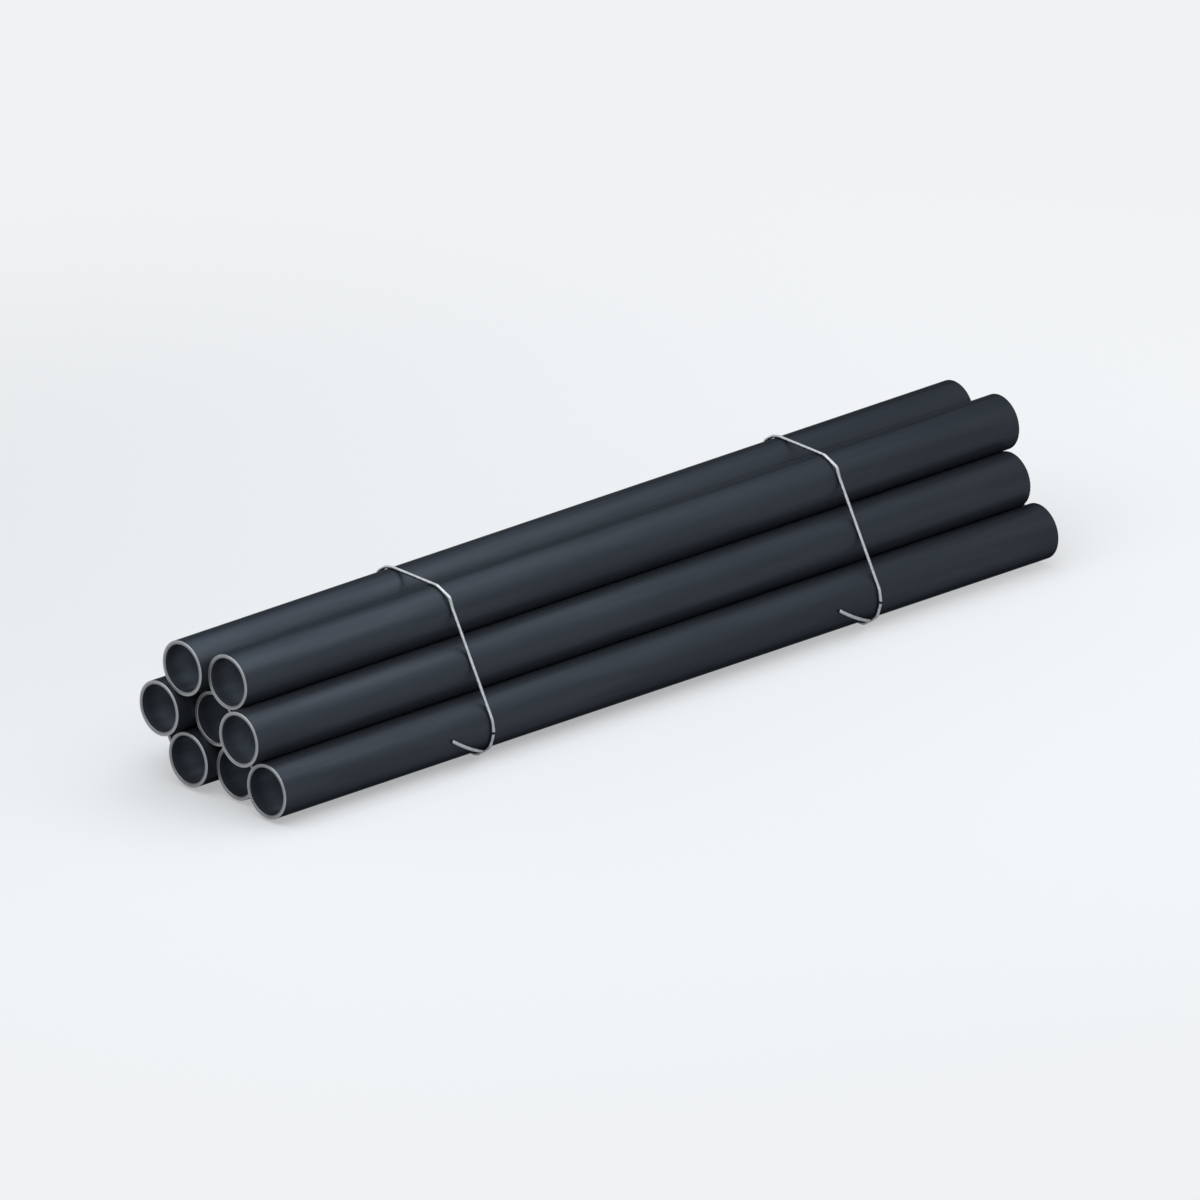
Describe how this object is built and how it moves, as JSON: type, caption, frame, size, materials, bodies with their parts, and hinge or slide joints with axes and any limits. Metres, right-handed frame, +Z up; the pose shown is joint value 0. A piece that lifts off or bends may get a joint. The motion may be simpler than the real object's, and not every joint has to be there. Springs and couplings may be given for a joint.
{
  "type": "bundle of steel pipes",
  "caption": "Bundle of round steel pipes stacked in a tapering pile with staggered ends, tied by two loops of bent wire.",
  "frame": {"origin": "middle of the bundle's footprint, on the surface that the undersides of the two wires rest on", "axes": "+X along the pipes from the near ends to the far ends, +Z up, +Y towards the left side as seen from the near ends"},
  "size_m": [0.9682, 0.2105, 0.145],
  "materials": {
    "pipe": "dark blue-grey mill lacquer, semi-matt, with bare grey cut ends",
    "wire": "dull galvanised tie wire"
  },
  "bodies": {
    "root": {"pipe_bottom_1": "pipe", "pipe_bottom_2": "pipe", "pipe_bottom_3": "pipe", "pipe_bottom_4": "pipe", "pipe_middle_1": "pipe", "pipe_middle_2": "pipe", "pipe_middle_3": "pipe", "pipe_top_1": "pipe", "pipe_top_2": "pipe", "tie_wire_front": "wire", "tie_wire_rear": "wire"}
  },
  "joints": []
}
